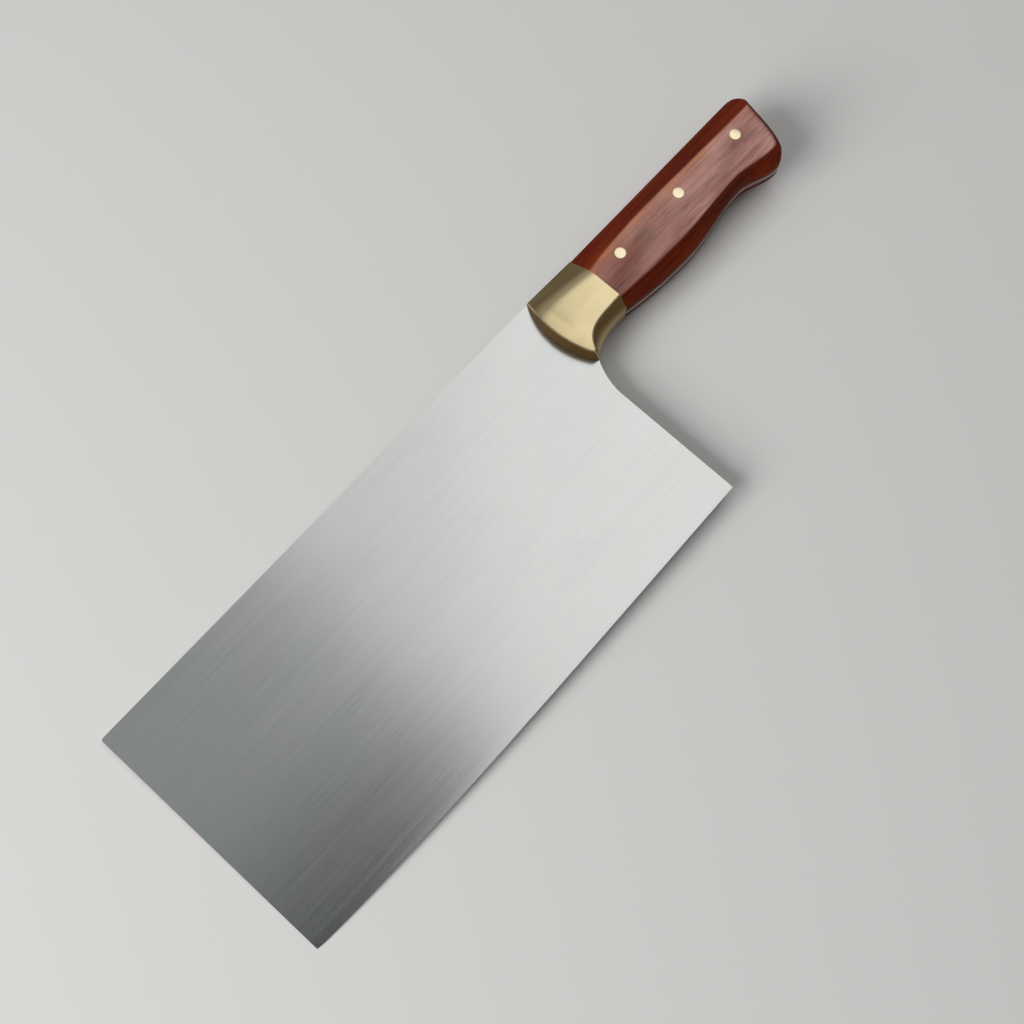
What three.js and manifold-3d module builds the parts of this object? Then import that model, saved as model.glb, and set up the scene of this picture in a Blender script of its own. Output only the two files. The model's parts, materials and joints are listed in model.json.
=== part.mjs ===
// A kitchen cleaver: one ground steel blade with a full tang, a cast brass bolster round the tang's neck,
// two rosewood scales and three brass rivets. Millimetres, +Z up, lying on its side as it is put down.
// The pieces are drawn in the knife's own frame: X runs from the toe to the butt, Y towards the spine,
// Z square to the blade, with zero at the corner where the bolster meets the spine, on the middle plane.
import * as THREE from 'three';
import { mergeVertices } from 'three/addons/utils/BufferGeometryUtils.js';
import Module from 'manifold-3d';

const wasm = await Module();
wasm.setup();

// Fits and fineness
const clearance = 0.3; // gap left between pieces that touch
const overlap = 1; // how far solids that are joined or cut reach past each other
const weldDistance = 1e-4;
const arcSegments = 16;
const facetSteps = 4;
const rivetSides = 32;

// Blade
const bladeLength = 210; // toe to bolster, along the spine
const bladeHeight = 98.6; // spine to cutting edge, at the toe and at the heel
const spineThickness = 2.2; // also the tang's
const edgeThickness = 0.5; // where the flat grind ends and the edge bevel starts
const edgeLand = 0.12; // what is left at the very edge
const edgeBevelHeight = 1.6;
const edgeBow = 1.7; // how far the cutting edge bows out between toe and heel
const edgeBowBias = 0.62; // below 1 the bow is fullest nearer the toe
const edgeStations = 20;
const toeCornerRadius = 3;
const toeCornerSteps = 2; // few, so that the knife bears on the ends of the toe line
const heelSetForward = 2.6; // heel line, ahead of the bolster's corner at the spine
const neckFilletDrop = 14.8; // height of the hollow curve from the bolster's tip into the heel line

// Bolster
const bolsterLength = 22; // spine corner to rear face
const bolsterBow = 4.3; // how far its front bows out over the blade
const bolsterTipHeight = 33.2; // spine to the tip at the belly
const bolsterTipSetback = 1.6; // the tip lies this far behind the spine corner
const bolsterFrontCrease = 5; // spine to the crease of the top, at the front
const bolsterFrontShoulder = 7; // half thickness at that crease
const bolsterFrontCrown = 1.4; // lift of the rounded top between its creases
const bolsterFrontRim = 1.7; // half thickness left along the spine and at the tip
const bolsterFrontFlare = 1.6; // belly crease to tip
const bolsterFrontBelly = 7; // half thickness at the belly crease
const bolsterTaperPower = 1; // spine edge and rims run evenly from the rear section to the front
const bolsterFallPower = 1.2; // the top falls a little faster towards the front
const bolsterFlarePower = 3; // the belly keeps the scales' line first, then flares to the tip
const bolsterCreaseFlarePower = 6; // its crease keeps that line for longer
const bolsterStations = 18;
const neckInset = 3.2; // brass left over the tang's neck on the spine side
const neckHeight = 22.8;
const tangRoot = 3; // the neck has its full thickness from here on, inside the bolster

// Handle, as the scales and the tang share it
const woodLength = 93.2;
const handleThickness = 20;
const handleDrop = 1.2; // its spine lies this far below the blade's
const wallHeight = 8; // upright wall between the facets of the two sides
const facetCrown = 0.5; // how far a facet swells past flat
const woodStations = 40;
const frontHeight = 27; // spine to belly at the bolster
const swellHeight = 30;
const swellPlace = 32; // behind the bolster
const waistHeight = 26.5;
const waistPlace = 64;
const hookHeight = 30.9;
const hookPlace = 81;
const frontSpineFacet = 9.6; // width of the spine facet, seen square to the blade
const middleSpineFacet = 7.6;
const buttSpineFacet = 8.8;
const frontBellyFacet = 3.6;
const swellBellyFacet = 5.2;
const waistBellyFacet = 3;
const hookBellyFacet = 4.9;
const buttLean = 6; // the butt leans back by this much from spine to belly
const buttCornerRadius = 6.5; // at the spine
const buttTurn = 0.52; // share of the height at which the hook runs into the leaning end
const buttRimRound = 2.4;

// Rivets
const rivetDiameter = 4;
const rivetHeadDiameter = 4.6;
const rivetHeadDepth = 1.2;
const rivetSetback = 12.1; // first rivet, behind the bolster
const rivetPitch = 32.2;
const rivetInset = 12.6; // handle's spine to the rivet line
const rivetNames = ['front_rivet', 'middle_rivet', 'rear_rivet'];

// Finishes
const steel = new THREE.MeshStandardMaterial({ color: 0xc6c9c7, metalness: 1, roughness: 0.34 });
const brass = new THREE.MeshStandardMaterial({ color: 0xcdb26a, metalness: 1, roughness: 0.36 });
const rosewood = new THREE.MeshStandardMaterial({ color: 0x6a2a20, metalness: 0, roughness: 0.42 });

// Places that follow from the sizes
const halfSpine = spineThickness / 2;
const halfHandle = handleThickness / 2;
const woodStart = bolsterLength + clearance;
const woodEnd = bolsterLength + woodLength;
const seatHeight = halfSpine + clearance;
const neckTop = -neckInset;
const neckBottom = neckTop - neckHeight;
const heelX = -heelSetForward;
const wideMargin = bladeHeight + handleThickness;

const mix = THREE.MathUtils.lerp;

// Eases through [place, value] stations: it leaves the first at a slope and is level at the others.
const through = (stations) => (x) => {
  const next = stations.findIndex(([place]) => place > x);
  if (next === 0) return stations[0][1];
  if (next === -1) return stations.at(-1)[1];
  const [fromPlace, fromValue] = stations[next - 1];
  const [toPlace, toValue] = stations[next];
  const along = (x - fromPlace) / (toPlace - fromPlace);
  const eased = next === 1 ? 1 - (1 - along) ** 2 : THREE.MathUtils.smoothstep(along, 0, 1);
  return mix(fromValue, toValue, eased);
};

const steps = (from, to, count) => Array.from({ length: count + 1 }, (_, i) => mix(from, to, i / count));

// Solids: a closed geometry becomes one, and a finished one becomes a geometry again.
const solidOf = (geometry) => {
  geometry.deleteAttribute('normal');
  geometry.deleteAttribute('uv');
  const welded = mergeVertices(geometry, weldDistance);
  return new wasm.Manifold(new wasm.Mesh({
    numProp: 3,
    vertProperties: Float32Array.from(welded.attributes.position.array),
    triVerts: Uint32Array.from(welded.index.array),
  }));
};

const geometryOf = (solid) => {
  const mesh = solid.getMesh();
  const geometry = new THREE.BufferGeometry();
  geometry.setAttribute('position', new THREE.BufferAttribute(Float32Array.from(mesh.vertProperties), 3));
  geometry.setIndex(new THREE.BufferAttribute(Uint32Array.from(mesh.triVerts), 1));
  geometry.computeVertexNormals();
  return geometry;
};

// A plan outline carried along Z between two heights, with the rims rounded where a round is given.
const plate = (shape, halfHeight, rimRound = 0) => {
  const depth = 2 * (halfHeight - rimRound);
  const geometry = new THREE.ExtrudeGeometry(shape, {
    depth,
    curveSegments: arcSegments,
    bevelEnabled: rimRound > 0,
    bevelThickness: rimRound,
    bevelSize: rimRound,
    bevelOffset: -rimRound,
    bevelSegments: facetSteps,
  });
  return solidOf(geometry.translate(0, 0, -depth / 2));
};

// A skin over closed rings of equal count, one ring to a station along X, with flat ends.
const loft = (rings) => {
  const count = rings[0].length;
  const lastRow = (rings.length - 1) * count;
  const faces = [];
  for (let row = 0; row < lastRow; row += count) {
    for (let i = 0; i < count; i += 1) {
      const a = row + i;
      const b = row + ((i + 1) % count);
      faces.push(a, b, b + count, a, b + count, a + count);
    }
  }
  const endFaces = (ring) => THREE.ShapeUtils.triangulateShape(
    ring.map(({ y, z }) => new THREE.Vector2(y, z)),
    [],
  );
  endFaces(rings[0]).forEach(([a, b, c]) => faces.push(c, b, a));
  endFaces(rings.at(-1)).forEach(([a, b, c]) => faces.push(a + lastRow, b + lastRow, c + lastRow));
  const geometry = new THREE.BufferGeometry().setFromPoints(rings.flat());
  return solidOf(geometry.setIndex(faces));
};

// Bolster front: an arc in plan from the spine corner to the tip, bowed towards the toe.
const spineCorner = new THREE.Vector2(0, 0);
const tip = new THREE.Vector2(bolsterTipSetback, -bolsterTipHeight);
const halfChord = spineCorner.distanceTo(tip) / 2;
const frontRadius = (halfChord ** 2 + bolsterBow ** 2) / (2 * bolsterBow);
const rearwards = new THREE.Vector2(tip.y, -tip.x).divideScalar(-2 * halfChord);
const frontCentre = spineCorner.clone().add(tip).multiplyScalar(0.5);
frontCentre.addScaledVector(rearwards, frontRadius - bolsterBow);
const frontAngle = (y, radius) => Math.PI - Math.asin((y - frontCentre.y) / radius);
const frontArc = (shape, radius, fromY, toY) => {
  shape.absarc(frontCentre.x, frontCentre.y, radius, frontAngle(fromY, radius), frontAngle(toY, radius));
};

// Handle outline and facets, along X
const handleSpine = -handleDrop;
const swellX = bolsterLength + swellPlace;
const waistX = bolsterLength + waistPlace;
const hookX = bolsterLength + hookPlace;
const bellyDepth = through([
  [bolsterLength, frontHeight],
  [swellX, swellHeight],
  [waistX, waistHeight],
  [hookX, hookHeight],
]);
const spineFacet = through([
  [bolsterLength, frontSpineFacet],
  [swellX, middleSpineFacet],
  [woodEnd, buttSpineFacet],
]);
const bellyFacet = through([
  [bolsterLength, frontBellyFacet],
  [swellX, swellBellyFacet],
  [waistX, waistBellyFacet],
  [hookX, hookBellyFacet],
]);

// One side's section, from the spine over the spine facet, the top and the belly facet.
const bowed = (from, to, swell) => {
  const along = to.clone().sub(from);
  const outwards = new THREE.Vector2(along.y, -along.x).normalize();
  const control = from.clone().lerp(to, 0.5).addScaledVector(outwards, 2 * swell);
  return new THREE.QuadraticBezierCurve(from, control, to).getPoints(facetSteps);
};
const sideSection = ({ spine, spineCrease, bellyCrease, belly, crown }) => {
  const top = bowed(spineCrease, bellyCrease, crown).slice(1, -1);
  return [...bowed(spine, spineCrease, facetCrown), ...top, ...bowed(bellyCrease, belly, facetCrown)];
};
const ringAt = (x, points) => points.map(({ x: y, y: z }) => new THREE.Vector3(x, y, z));

const woodSection = (x) => {
  const belly = handleSpine - bellyDepth(x);
  return {
    spine: new THREE.Vector2(handleSpine, wallHeight / 2),
    spineCrease: new THREE.Vector2(handleSpine - spineFacet(x), halfHandle),
    bellyCrease: new THREE.Vector2(belly + bellyFacet(x), halfHandle),
    belly: new THREE.Vector2(belly, wallHeight / 2),
    crown: 0,
  };
};

// The bolster's section runs from a thin rounded front into the scales' own section at its rear.
const bolsterFront = {
  spine: new THREE.Vector2(0, bolsterFrontRim),
  spineCrease: new THREE.Vector2(-bolsterFrontCrease, bolsterFrontShoulder),
  bellyCrease: new THREE.Vector2(tip.y + bolsterFrontFlare, bolsterFrontBelly),
  belly: new THREE.Vector2(tip.y, bolsterFrontRim),
};
const bolsterSection = (x) => {
  const forward = THREE.MathUtils.clamp((bolsterLength - x) / (bolsterLength - tip.x), 0, 1);
  const rear = woodSection(bolsterLength);
  const between = (name, sideways, upwards) => new THREE.Vector2(
    mix(rear[name].x, bolsterFront[name].x, forward ** sideways),
    mix(rear[name].y, bolsterFront[name].y, forward ** upwards),
  );
  return {
    spine: between('spine', bolsterTaperPower, bolsterTaperPower),
    spineCrease: between('spineCrease', bolsterTaperPower, bolsterFallPower),
    bellyCrease: between('bellyCrease', bolsterCreaseFlarePower, bolsterFallPower),
    belly: between('belly', bolsterFlarePower, bolsterTaperPower),
    crown: bolsterFrontCrown * forward ** bolsterFallPower,
  };
};

// Butt outline, open wide on every other side: hook, leaning end and spine corner.
const buttOutline = () => {
  const hookY = handleSpine - hookHeight;
  const turnX = woodEnd - buttLean * buttTurn;
  const turnY = handleSpine - hookHeight * buttTurn;
  const cornerLean = (buttLean * buttCornerRadius) / hookHeight;
  const shape = new THREE.Shape();
  shape.moveTo(-wideMargin, wideMargin);
  shape.lineTo(-wideMargin, -wideMargin);
  shape.lineTo(hookX, -wideMargin);
  shape.lineTo(hookX, hookY);
  shape.quadraticCurveTo(woodEnd - buttLean, hookY, turnX, turnY);
  shape.lineTo(woodEnd - cornerLean, handleSpine - buttCornerRadius);
  shape.quadraticCurveTo(woodEnd, handleSpine, woodEnd - buttCornerRadius, handleSpine);
  shape.lineTo(woodEnd - buttCornerRadius, wideMargin);
  return shape;
};

// Rivets, waisted under their peened heads, and the cutters for their holes
const rivetProfile = (grow, reach) => [
  [0, -halfHandle - reach],
  [rivetHeadDiameter / 2 + grow, -halfHandle - reach],
  [rivetHeadDiameter / 2 + grow, -halfHandle],
  [rivetDiameter / 2 + grow, rivetHeadDepth - halfHandle],
  [rivetDiameter / 2 + grow, halfHandle - rivetHeadDepth],
  [rivetHeadDiameter / 2 + grow, halfHandle],
  [rivetHeadDiameter / 2 + grow, halfHandle + reach],
  [0, halfHandle + reach],
].map(([radius, height]) => new THREE.Vector2(radius, height));
const rivetPlaces = rivetNames.map((_, i) => new THREE.Vector3(
  woodStart + rivetSetback + i * rivetPitch,
  handleSpine - rivetInset,
  0,
));
const rivetTurning = (grow, reach) => {
  const turned = new THREE.LatheGeometry(rivetProfile(grow, reach), rivetSides);
  return turned.rotateX(Math.PI / 2);
};
const rivetHoles = rivetPlaces.map(({ x, y, z }) => (
  solidOf(rivetTurning(clearance, overlap).translate(x, y, z))
));
const drilled = (solid) => rivetHoles.reduce((left, hole) => left.subtract(hole), solid);

// Blade: the plan outline cut to the ground section, with the neck and the parallel tang joined on.
const bladeOutline = () => {
  const gapRadius = frontRadius + clearance;
  const rootX = tangRoot + overlap;
  const corner = new THREE.QuadraticBezierCurve(
    new THREE.Vector2(-bladeLength, -toeCornerRadius),
    new THREE.Vector2(-bladeLength, 0),
    new THREE.Vector2(toeCornerRadius - bladeLength, 0),
  );
  const shape = new THREE.Shape(corner.getPoints(toeCornerSteps));
  frontArc(shape, gapRadius, 0, neckTop);
  shape.lineTo(rootX, neckTop);
  shape.lineTo(rootX, neckBottom);
  frontArc(shape, gapRadius, neckBottom, tip.y);
  shape.quadraticCurveTo(heelX, tip.y - neckFilletDrop / 2, heelX, tip.y - neckFilletDrop);
  shape.lineTo(heelX, -wideMargin);
  shape.lineTo(-bladeLength, -wideMargin);
  return shape;
};
const grindSlope = (spineThickness - edgeThickness) / 2 / bladeHeight;
const groundRing = (x) => {
  const along = THREE.MathUtils.clamp((x + bladeLength) / (bladeLength + heelX), 0, 1);
  const edgeY = -bladeHeight - edgeBow * Math.sin(Math.PI * along ** edgeBowBias);
  const shoulderY = edgeY + edgeBevelHeight;
  const shoulderZ = halfSpine + grindSlope * shoulderY;
  const upper = [[0, halfSpine], [shoulderY, shoulderZ], [edgeY, edgeLand / 2]];
  const lower = upper.map(([y, z]) => [y, -z]).reverse();
  return ringAt(x, [...upper, ...lower].map(([y, z]) => new THREE.Vector2(y, z)));
};
const groundStations = [...steps(-bladeLength, heelX, edgeStations), tangRoot + overlap];
const tangOutline = () => {
  const belly = steps(woodStart, woodEnd, woodStations).map((x) => (
    new THREE.Vector2(x, handleSpine - bellyDepth(x))
  ));
  const shape = new THREE.Shape();
  shape.moveTo(woodEnd, handleSpine);
  shape.lineTo(woodStart, handleSpine);
  shape.lineTo(woodStart, neckTop);
  shape.lineTo(tangRoot, neckTop);
  shape.lineTo(tangRoot, neckBottom);
  shape.lineTo(woodStart, neckBottom);
  belly.forEach(({ x, y }) => shape.lineTo(x, y));
  return shape;
};

const buttCut = plate(buttOutline(), halfHandle + overlap);
const roundedButtCut = plate(buttOutline(), halfHandle, buttRimRound);

const bladeSolid = plate(bladeOutline(), spineThickness).intersect(loft(groundStations.map(groundRing)));
const tangSolid = drilled(plate(tangOutline(), halfSpine).intersect(buttCut));

// Bolster: the lofted body behind its bowed front, slotted for the neck.
const bolsterOutline = () => {
  const shape = new THREE.Shape();
  shape.moveTo(spineCorner.x, wideMargin);
  frontArc(shape, frontRadius, spineCorner.y, tip.y);
  shape.lineTo(tip.x, -wideMargin);
  shape.lineTo(bolsterLength, -wideMargin);
  shape.lineTo(bolsterLength, wideMargin);
  return shape;
};
const bolsterRing = (x) => {
  const upper = sideSection(bolsterSection(x));
  const lower = upper.map(({ x: y, y: z }) => new THREE.Vector2(y, -z)).reverse();
  return ringAt(x, [...upper, ...lower]);
};
const slot = new THREE.BoxGeometry(
  wideMargin,
  neckHeight + 2 * clearance,
  spineThickness + 2 * clearance,
).translate(0, (neckTop + neckBottom) / 2, 0);
const bolsterStart = frontCentre.x - frontRadius - overlap;
const bolsterBody = loft(steps(bolsterStart, bolsterLength + overlap, bolsterStations).map(bolsterRing));
const bolsterSolid = bolsterBody.intersect(plate(bolsterOutline(), handleThickness)).subtract(solidOf(slot));

// Scales: near is the side that faces up, far the side that lies down.
const scaleRing = (x) => {
  const section = sideSection(woodSection(x));
  const seat = [section.at(-1), section[0]].map(({ x: y }) => new THREE.Vector2(y, seatHeight));
  return ringAt(x, [...section, ...seat]);
};
const turnedOver = (ring) => ring.map(({ x, y, z }) => new THREE.Vector3(x, y, -z)).reverse();
const scaleRings = steps(woodStart, woodEnd + overlap, woodStations).map(scaleRing);
const scale = (rings) => drilled(loft(rings).intersect(roundedButtCut));

const knife = new THREE.Group();
const add = (name, geometry, material) => {
  const mesh = new THREE.Mesh(geometry, material);
  mesh.name = name;
  knife.add(mesh);
  return mesh;
};
add('blade_and_tang', geometryOf(bladeSolid.add(tangSolid)), steel);
add('bolster', geometryOf(bolsterSolid), brass);
add('near_scale', geometryOf(scale(scaleRings)), rosewood);
add('far_scale', geometryOf(scale(scaleRings.map(turnedOver))), rosewood);
rivetNames.forEach((name, i) => {
  add(name, rivetTurning(0, 0), brass).position.copy(rivetPlaces[i]);
});

// It lies on three points: the two corners of the toe and the bolster's rear edge under the belly.
const toeThickness = (y) => halfSpine + grindSlope * y;
const bearing = woodSection(bolsterLength).bellyCrease;
const rests = new THREE.Triangle(
  new THREE.Vector3(-bladeLength, 0, -halfSpine),
  new THREE.Vector3(-bladeLength, -bladeHeight, -toeThickness(-bladeHeight)),
  new THREE.Vector3(bolsterLength, bearing.x, -bearing.y),
);
const up = rests.getNormal(new THREE.Vector3());
knife.quaternion.setFromUnitVectors(up, new THREE.Vector3(0, 0, 1));
knife.updateMatrixWorld(true);

// The origin is under the middle of the knife, on the surface it lies on.
const box = new THREE.Box3().setFromObject(knife, true);
const middle = box.getCenter(new THREE.Vector3());
knife.position.set(-middle.x, -middle.y, -box.min.z);

const part = new THREE.Group();
part.add(knife);

export default part;
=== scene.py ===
import json
from math import radians

import bmesh
import bpy
import numpy as np
from mathutils import Matrix, Vector


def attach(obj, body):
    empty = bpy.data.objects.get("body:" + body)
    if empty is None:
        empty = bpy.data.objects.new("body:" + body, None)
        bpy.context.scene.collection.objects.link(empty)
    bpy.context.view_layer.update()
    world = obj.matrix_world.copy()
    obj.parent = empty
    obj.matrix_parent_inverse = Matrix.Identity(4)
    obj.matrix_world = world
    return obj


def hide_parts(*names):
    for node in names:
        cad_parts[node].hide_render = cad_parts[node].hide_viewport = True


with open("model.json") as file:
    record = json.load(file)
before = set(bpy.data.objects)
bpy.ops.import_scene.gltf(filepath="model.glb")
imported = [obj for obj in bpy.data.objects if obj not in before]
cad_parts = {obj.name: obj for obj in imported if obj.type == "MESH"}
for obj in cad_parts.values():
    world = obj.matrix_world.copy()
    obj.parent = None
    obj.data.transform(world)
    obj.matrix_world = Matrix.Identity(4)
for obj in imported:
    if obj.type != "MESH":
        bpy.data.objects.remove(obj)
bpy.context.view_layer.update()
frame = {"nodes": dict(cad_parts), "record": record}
print("frame loaded:", sorted(frame["nodes"]))


# The knife's own frame: x from toe to butt, y to the spine, z out of the near side, in millimetres,
# zero where the bolster meets the spine. The two flats of the blade give its axes and its place.
millimetre = 0.001
flatPoint = np.array([-110.0, -50.0, 0.0])  # where both flats are stated, on the middle plane


# each vector divided by its length
def unit(vectors):
    return vectors / np.linalg.norm(vectors, axis=-1, keepdims=True)


mounts = {mount["name"]: mount for mount in frame["record"]["mounts"]}
nearFlat, farFlat = mounts["near_blade_face"], mounts["far_blade_face"]
nearNormal, farNormal = np.array(nearFlat["axis"]), np.array(farFlat["axis"])
upAxis = unit(nearNormal - farNormal)
spineAxis = unit(-(nearNormal + farNormal))
knifeAxes = np.stack([np.cross(spineAxis, upAxis), spineAxis, upAxis])
flatMiddle = (np.array(nearFlat["pos_m"]) + np.array(farFlat["pos_m"])) / 2
knifeOrigin = flatMiddle - flatPoint @ knifeAxes * millimetre
knifeTurn = Matrix(knifeAxes.T.tolist()).to_euler()


# from the knife's millimetres to the model's metres: each coordinate along its axis, from the knife's origin
def place(points):
    return np.asarray(points, float) @ knifeAxes * millimetre + knifeOrigin


# Number tools, on whole arrays
def mix(start, end, share):
    return start + (end - start) * share


# three times the square less twice the cube, so level at nought and at one
def smooth(share):
    share = np.clip(share, 0, 1)
    return share * share * (3 - 2 * share)


# nought up to the start, one from the reach beyond it
def ease(value, start, reach):
    return smooth((value - start) / reach)


# even steps from nought to one along the first of so many axes
def steps(count, axes=1):
    return np.linspace(0, 1, count).reshape((-1,) + (1,) * (axes - 1))


# eases through stations: leaves the first at a slope, is level at the others
def through(places, values, x):
    places, values = np.asarray(places, float), np.asarray(values, float)
    span = np.clip(np.searchsorted(places, x, side="right") - 1, 0, len(places) - 2)
    along = np.clip((x - places[span]) / (places[span + 1] - places[span]), 0, 1)
    eased = np.where(span == 0, 1 - (1 - along) ** 2, smooth(along))
    return mix(values[span], values[span + 1], eased)


# quadratic curve: start and end weighted by the squares of what is left and done, corner by twice both
def curve(start, corner, end, done):
    return (1 - done) ** 2 * start + 2 * done * (1 - done) * corner + done ** 2 * end


# straight runs between corners, each inner corner replaced by a quadratic curve
# that leaves the run at the cut distance before it and joins the next as far behind it
def roundedPath(corners, cuts, runSteps=7, turnSteps=7):
    run = steps(runSteps, 2)
    turn = steps(turnSteps, 2)[:-1]
    stretches = []
    last = corners[0][..., None, :]
    for before, corner, after, cut in zip(corners, corners[1:], corners[2:], cuts):
        cut = np.broadcast_to(cut, corner.shape[:-1])[..., None]
        start = (corner + unit(before - corner) * cut)[..., None, :]
        end = (corner + unit(after - corner) * cut)[..., None, :]
        stretches.append(mix(last, start, run[:-1]))
        stretches.append(curve(start, corner[..., None, :], end, turn))
        last = end
    stretches.append(mix(last, corners[-1][..., None, :], run))
    return np.concatenate(stretches, axis=-2)


# Mesh tools
sharpAngle = 34  # degrees
weldDistance = 1e-6  # metres


# the four corners of each cell in a grid of point numbers
def gridFaces(ids):
    return np.stack([ids[:-1, :-1], ids[1:, :-1], ids[1:, 1:], ids[:-1, 1:]], -1).reshape(-1, 4)


# marks hold a value for each point, which the finishes read
def makePiece(name, points, faces, material, replaced, marks):
    mesh = bpy.data.meshes.new(name)
    mesh.from_pydata(place(points.reshape(-1, 3)).tolist(), [], faces)
    for mark, values in marks.items():
        layer = mesh.attributes.new(mark, "FLOAT", "POINT")
        layer.data.foreach_set("value", values.ravel().astype(np.float32))
    work = bmesh.new()
    work.from_mesh(mesh)
    bmesh.ops.remove_doubles(work, verts=work.verts, dist=weldDistance)
    bmesh.ops.recalc_face_normals(work, faces=work.faces)
    work.to_mesh(mesh)
    work.free()
    mesh.shade_smooth()
    mesh.set_sharp_from_angle(angle=radians(sharpAngle))
    mesh.materials.append(material)
    piece = bpy.data.objects.new(name, mesh)
    bpy.context.scene.collection.objects.link(piece)
    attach(piece, "root")
    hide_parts(replaced)


# a sheet and its mirror image in the knife's middle plane, joined by a rim
def mirroredSlab(sheet):
    rows, cols = sheet.shape[:2]
    ids = np.arange(rows * cols).reshape(rows, cols)
    rim = np.concatenate([ids[0], ids[1:, -1], ids[-1, -2::-1], ids[-2:0:-1, 0]])
    ahead = np.roll(rim, -1)
    rimFaces = np.stack([rim, ahead, ahead + ids.size, rim + ids.size], -1)
    faces = np.concatenate([gridFaces(ids), gridFaces(ids + ids.size)[:, ::-1], rimFaces])
    return np.concatenate([sheet.reshape(-1, 3), (sheet * (1, 1, -1)).reshape(-1, 3)]), faces


# Shader tools
def addNode(tree, kind, inputs=None, **settings):
    made = tree.nodes.new(kind)
    for name, value in settings.items():
        setattr(made, name, value)
    for socket, value in (inputs or {}).items():
        if isinstance(value, bpy.types.NodeSocket):
            tree.links.new(value, made.inputs[socket])
        else:
            made.inputs[socket].default_value = value
    return made


def feed(tree, node, values):
    for socket, value in values.items():
        tree.links.new(value, node.inputs[socket])


def opaque(colour):
    return (*colour, 1)


def ramp(tree, value, stops):
    made = addNode(tree, "ShaderNodeValToRGB", {"Fac": value})
    while len(made.color_ramp.elements) < len(stops):
        made.color_ramp.elements.new(0.5)
    for element, (position, colour) in zip(made.color_ramp.elements, stops):
        element.position = position
        element.color = opaque(colour)
    return made.outputs["Color"]


def blendColour(tree, share, low, high, kind="MIX"):
    made = addNode(tree, "ShaderNodeMix", {0: share, 6: low, 7: high}, data_type="RGBA", blend_type=kind)
    return made.outputs[2]


def blendValue(tree, share, low, high):
    return addNode(tree, "ShaderNodeMix", {0: share, 2: low, 3: high}).outputs[0]


def compute(tree, operation, *values, clamped=False):
    inputs = dict(enumerate(values))
    return addNode(tree, "ShaderNodeMath", inputs, operation=operation, use_clamp=clamped).outputs[0]


def rescale(tree, value, low, high, fromLow=0.0, fromHigh=1.0, kind="LINEAR"):
    inputs = {"Value": value, "From Min": fromLow, "From Max": fromHigh, "To Min": low, "To Max": high}
    return addNode(tree, "ShaderNodeMapRange", inputs, interpolation_type=kind).outputs["Result"]


def markOf(tree, name):
    return addNode(tree, "ShaderNodeAttribute", attribute_name=name).outputs["Fac"]


# knife millimetres divided by the stretch, so that a pattern runs along the knife
def knifeCoordinates(tree, stretch=(1, 1, 1)):
    where = addNode(tree, "ShaderNodeTexCoord").outputs["Object"]
    mapping = addNode(tree, "ShaderNodeMapping", {"Vector": where}, vector_type="TEXTURE")
    mapping.inputs["Location"].default_value = Vector(knifeOrigin.tolist())
    mapping.inputs["Rotation"].default_value = knifeTurn
    mapping.inputs["Scale"].default_value = [size * millimetre for size in stretch]
    return mapping.outputs["Vector"]


noiseRange = (0.3, 0.7)  # where nearly all values of a noise lie


def noise(tree, stretch, detail=3.0, rough=0.5, distortion=0.0):
    inputs = {"Vector": knifeCoordinates(tree, stretch), "Scale": 1.0, "Detail": detail,
              "Roughness": rough, "Distortion": distortion}
    return addNode(tree, "ShaderNodeTexNoise", inputs).outputs["Fac"]


def bump(tree, height, strength, depth):
    inputs = {"Height": height, "Strength": strength, "Distance": depth * millimetre}
    return addNode(tree, "ShaderNodeBump", inputs).outputs["Normal"]


def newGroup(name, inputs, outputs):
    tree = bpy.data.node_groups.new(name, "ShaderNodeTree")
    for socket, default in inputs.items():
        made = tree.interface.new_socket(socket, in_out="INPUT", socket_type="NodeSocketFloat")
        made.default_value = default
    for socket in outputs:
        tree.interface.new_socket(socket, in_out="OUTPUT", socket_type="NodeSocketFloat")
    return tree, addNode(tree, "NodeGroupInput"), addNode(tree, "NodeGroupOutput")


def useGroup(tree, group, **values):
    made = addNode(tree, "ShaderNodeGroup", node_tree=group)
    for name, value in values.items():
        made.inputs[name].default_value = value
    return made.outputs


def newMaterial(name):
    material = bpy.data.materials.new(name)
    material.use_nodes = True
    tree = material.node_tree
    return material, tree, tree.nodes["Principled BSDF"]


# Effect: fine lines left by the grinding belt and the buff, running along the knife
lineLook = {
    "fine": {"stretch": (26, 0.3, 0.3), "rough": 0.6},
    "broad": {"stretch": (60, 1.6, 1.6), "rough": 0.6},
    "clouds": {"stretch": (45, 18, 18), "rough": 0.55},
}


def lineGroup():
    tree, given, out = newGroup("abrasiveLines", {"Coarse": 0.5}, ["Lines", "Clouds"])
    fine = noise(tree, **lineLook["fine"])
    broad = noise(tree, **lineLook["broad"])
    lines = blendValue(tree, given.outputs["Coarse"], fine, broad)
    feed(tree, out, {"Lines": lines, "Clouds": noise(tree, **lineLook["clouds"])})
    return tree


# Effect: edges rubbed by use, with painted highlights and painted shadows along edges, from the mark stored
# on the mesh, broken up by noise
edgeMarkLook = {
    "patches": {"stretch": (9, 3, 3)},
    "patchNoise": (0.35, 0.65),
    "patchShare": (0.45, 1.2),
}


def edgeMarkGroup():
    tree, given, out = newGroup("edgeWearAndPaintedLight", {"Amount": 1.0}, ["Mask"])
    patchy = noise(tree, **edgeMarkLook["patches"])
    patchy = rescale(tree, patchy, *edgeMarkLook["patchShare"], *edgeMarkLook["patchNoise"])
    mask = compute(tree, "MULTIPLY", markOf(tree, "wearAndPaintedLight"), patchy)
    mask = compute(tree, "MULTIPLY", mask, given.outputs["Amount"], clamped=True)
    feed(tree, out, {"Mask": mask})
    return tree


abrasiveLines = lineGroup()
edgeWearAndPaintedLight = edgeMarkGroup()


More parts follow.
